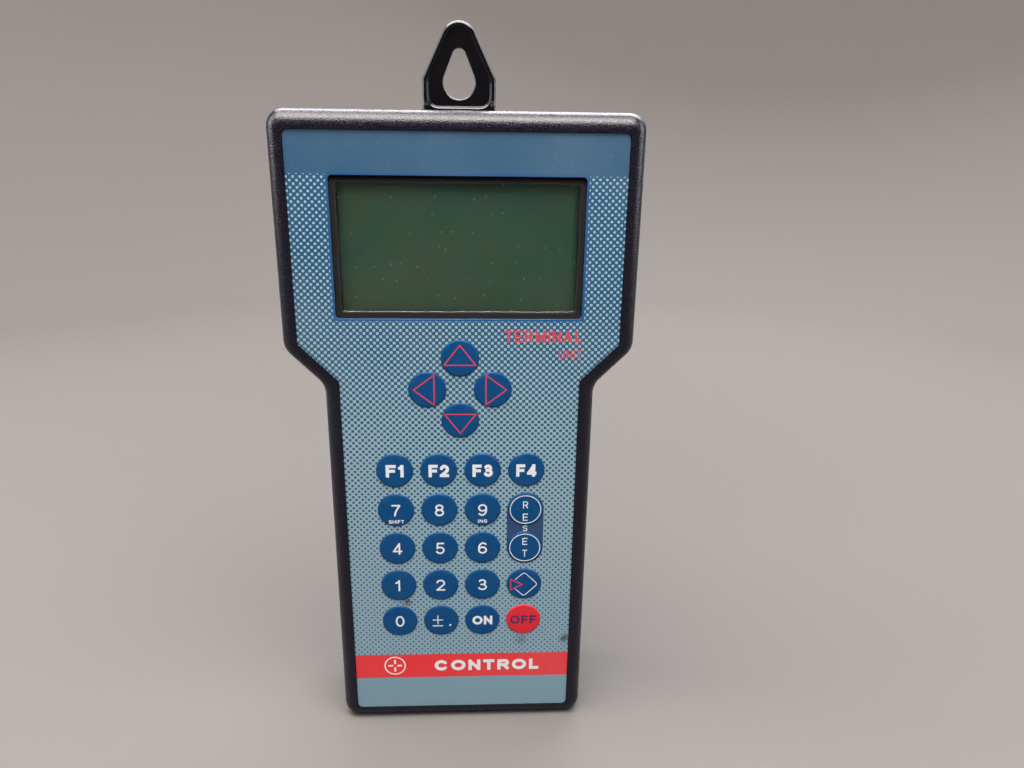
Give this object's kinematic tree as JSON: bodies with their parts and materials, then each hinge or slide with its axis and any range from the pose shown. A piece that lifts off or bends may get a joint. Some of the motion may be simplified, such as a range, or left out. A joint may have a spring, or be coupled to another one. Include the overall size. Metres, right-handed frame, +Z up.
{
  "type": "hand-held control terminal",
  "caption": "Hand-held keypad control terminal with a wide display head, a narrower grip, round keys, a pull-out hanging eye and a rear battery door.",
  "frame": {"origin": "middle of the footprint of the lower end, on the surface that it stands on", "axes": "+X to the right as the keypad is read, +Y from the keypad into the housing, +Z up the housing towards the hanging eye"},
  "size_m": [0.1166, 0.04, 0.25],
  "materials": {
    "housing": "fine spark-eroded texture",
    "label_print": "printed matt foil",
    "seal_rubber": "matt",
    "clear_pane": "clear, polished",
    "black_sheet": "black painted",
    "lcd_green": "satin",
    "white_plastic": "satin",
    "board_green": "solder-masked",
    "steel": "zinc plated",
    "brass": "turned",
    "ribbon_amber": "flexible film",
    "black_plastic": "matt",
    "can_aluminium": "sleeved",
    "gloss_black": "polished",
    "cell_can": "printed sleeve",
    "lead_red": "insulated wire",
    "plate_aluminium": "satin, blank",
    "key_blue": "printed matt foil",
    "key_red": "printed matt foil"
  },
  "bodies": {
    "housing": {"front_shell": "housing", "rear_shell": "housing", "label": "label_print", "case_seal": "seal_rubber", "display_window": "clear_pane", "window_seal": "seal_rubber", "lcd_bezel": "black_sheet", "lcd_glass": "lcd_green", "lcd_contact_strips": "seal_rubber", "lcd_backlight": "white_plastic", "lcd_board": "board_green", "lcd_screws": "steel", "snap_domes": "steel", "keypad_board": "board_green", "keypad_screws": "steel", "case_screws": "steel", "case_inserts": "brass", "lcd_ribbon": "ribbon_amber", "keypad_ribbon": "ribbon_amber", "main_board": "board_green", "board_chips": "black_plastic", "board_capacitors": "can_aluminium", "buzzer": "black_plastic", "board_screws": "steel", "connector_shell": "steel", "connector_insert": "black_plastic", "connector_jackscrews": "steel", "eye_guide": "black_plastic", "guide_screws": "steel", "battery_tray": "black_plastic", "battery_cells": "cell_can", "battery_contacts": "steel", "battery_leads": "lead_red", "rear_label": "plate_aluminium"},
    "hanging_eye": {"hanging_eye": "gloss_black"},
    "battery_door": {"battery_door": "housing"},
    "key_arrow_up": {"key_arrow_up": "key_blue"},
    "key_arrow_down": {"key_arrow_down": "key_blue"},
    "key_arrow_left": {"key_arrow_left": "key_blue"},
    "key_arrow_right": {"key_arrow_right": "key_blue"},
    "key_f1": {"key_f1": "key_blue"},
    "key_f2": {"key_f2": "key_blue"},
    "key_f3": {"key_f3": "key_blue"},
    "key_f4": {"key_f4": "key_blue"},
    "key_0": {"key_0": "key_blue"},
    "key_1": {"key_1": "key_blue"},
    "key_2": {"key_2": "key_blue"},
    "key_3": {"key_3": "key_blue"},
    "key_4": {"key_4": "key_blue"},
    "key_5": {"key_5": "key_blue"},
    "key_6": {"key_6": "key_blue"},
    "key_7": {"key_7": "key_blue"},
    "key_8": {"key_8": "key_blue"},
    "key_9": {"key_9": "key_blue"},
    "key_plus_minus": {"key_plus_minus": "key_blue"},
    "key_on": {"key_on": "key_blue"},
    "key_off": {"key_off": "key_red"},
    "key_enter": {"key_enter": "key_blue"},
    "key_reset_upper": {"key_reset_upper": "key_blue"},
    "key_reset_lower": {"key_reset_lower": "key_blue"}
  },
  "joints": [
    {"name": "key_arrow_up_press", "type": "slide", "parent": "housing", "child": "key_arrow_up", "axis": [0, 1, 0], "range_m": [0, 0.0004], "stiffness_N_per_m": 4000, "springref_m": -0.0001},
    {"name": "key_arrow_down_press", "type": "slide", "parent": "housing", "child": "key_arrow_down", "axis": [0, 1, 0], "range_m": [0, 0.0004], "stiffness_N_per_m": 4000, "springref_m": -0.0001},
    {"name": "key_arrow_left_press", "type": "slide", "parent": "housing", "child": "key_arrow_left", "axis": [0, 1, 0], "range_m": [0, 0.0004], "stiffness_N_per_m": 4000, "springref_m": -0.0001},
    {"name": "key_arrow_right_press", "type": "slide", "parent": "housing", "child": "key_arrow_right", "axis": [0, 1, 0], "range_m": [0, 0.0004], "stiffness_N_per_m": 4000, "springref_m": -0.0001},
    {"name": "key_f1_press", "type": "slide", "parent": "housing", "child": "key_f1", "axis": [0, 1, 0], "range_m": [0, 0.0004], "stiffness_N_per_m": 4000, "springref_m": -0.0001},
    {"name": "key_f2_press", "type": "slide", "parent": "housing", "child": "key_f2", "axis": [0, 1, 0], "range_m": [0, 0.0004], "stiffness_N_per_m": 4000, "springref_m": -0.0001},
    {"name": "key_f3_press", "type": "slide", "parent": "housing", "child": "key_f3", "axis": [0, 1, 0], "range_m": [0, 0.0004], "stiffness_N_per_m": 4000, "springref_m": -0.0001},
    {"name": "key_f4_press", "type": "slide", "parent": "housing", "child": "key_f4", "axis": [0, 1, 0], "range_m": [0, 0.0004], "stiffness_N_per_m": 4000, "springref_m": -0.0001},
    {"name": "key_0_press", "type": "slide", "parent": "housing", "child": "key_0", "axis": [0, 1, 0], "range_m": [0, 0.0004], "stiffness_N_per_m": 4000, "springref_m": -0.0001},
    {"name": "key_1_press", "type": "slide", "parent": "housing", "child": "key_1", "axis": [0, 1, 0], "range_m": [0, 0.0004], "stiffness_N_per_m": 4000, "springref_m": -0.0001},
    {"name": "key_2_press", "type": "slide", "parent": "housing", "child": "key_2", "axis": [0, 1, 0], "range_m": [0, 0.0004], "stiffness_N_per_m": 4000, "springref_m": -0.0001},
    {"name": "key_3_press", "type": "slide", "parent": "housing", "child": "key_3", "axis": [0, 1, 0], "range_m": [0, 0.0004], "stiffness_N_per_m": 4000, "springref_m": -0.0001},
    {"name": "key_4_press", "type": "slide", "parent": "housing", "child": "key_4", "axis": [0, 1, 0], "range_m": [0, 0.0004], "stiffness_N_per_m": 4000, "springref_m": -0.0001},
    {"name": "key_5_press", "type": "slide", "parent": "housing", "child": "key_5", "axis": [0, 1, 0], "range_m": [0, 0.0004], "stiffness_N_per_m": 4000, "springref_m": -0.0001},
    {"name": "key_6_press", "type": "slide", "parent": "housing", "child": "key_6", "axis": [0, 1, 0], "range_m": [0, 0.0004], "stiffness_N_per_m": 4000, "springref_m": -0.0001},
    {"name": "key_7_press", "type": "slide", "parent": "housing", "child": "key_7", "axis": [0, 1, 0], "range_m": [0, 0.0004], "stiffness_N_per_m": 4000, "springref_m": -0.0001},
    {"name": "key_8_press", "type": "slide", "parent": "housing", "child": "key_8", "axis": [0, 1, 0], "range_m": [0, 0.0004], "stiffness_N_per_m": 4000, "springref_m": -0.0001},
    {"name": "key_9_press", "type": "slide", "parent": "housing", "child": "key_9", "axis": [0, 1, 0], "range_m": [0, 0.0004], "stiffness_N_per_m": 4000, "springref_m": -0.0001},
    {"name": "key_plus_minus_press", "type": "slide", "parent": "housing", "child": "key_plus_minus", "axis": [0, 1, 0], "range_m": [0, 0.0004], "stiffness_N_per_m": 4000, "springref_m": -0.0001},
    {"name": "key_on_press", "type": "slide", "parent": "housing", "child": "key_on", "axis": [0, 1, 0], "range_m": [0, 0.0004], "stiffness_N_per_m": 4000, "springref_m": -0.0001},
    {"name": "key_off_press", "type": "slide", "parent": "housing", "child": "key_off", "axis": [0, 1, 0], "range_m": [0, 0.0004], "stiffness_N_per_m": 4000, "springref_m": -0.0001},
    {"name": "key_enter_press", "type": "slide", "parent": "housing", "child": "key_enter", "axis": [0, 1, 0], "range_m": [0, 0.0004], "stiffness_N_per_m": 4000, "springref_m": -0.0001},
    {"name": "key_reset_upper_press", "type": "slide", "parent": "housing", "child": "key_reset_upper", "axis": [0, 1, 0], "range_m": [0, 0.0004], "stiffness_N_per_m": 4000, "springref_m": -0.0001},
    {"name": "key_reset_lower_press", "type": "slide", "parent": "housing", "child": "key_reset_lower", "axis": [0, 1, 0], "range_m": [0, 0.0004], "stiffness_N_per_m": 4000, "springref_m": -0.0001},
    {"name": "eye_slide", "type": "slide", "parent": "housing", "child": "hanging_eye", "axis": [0, 0, 1], "range_m": [-0.025, 0]},
    {"name": "door_tip", "type": "hinge", "parent": "housing", "child": "battery_door", "pos_m": [0, 0.02, 0.122], "axis": [-1, 0, 0], "range_deg": [0, 70]}
  ]
}
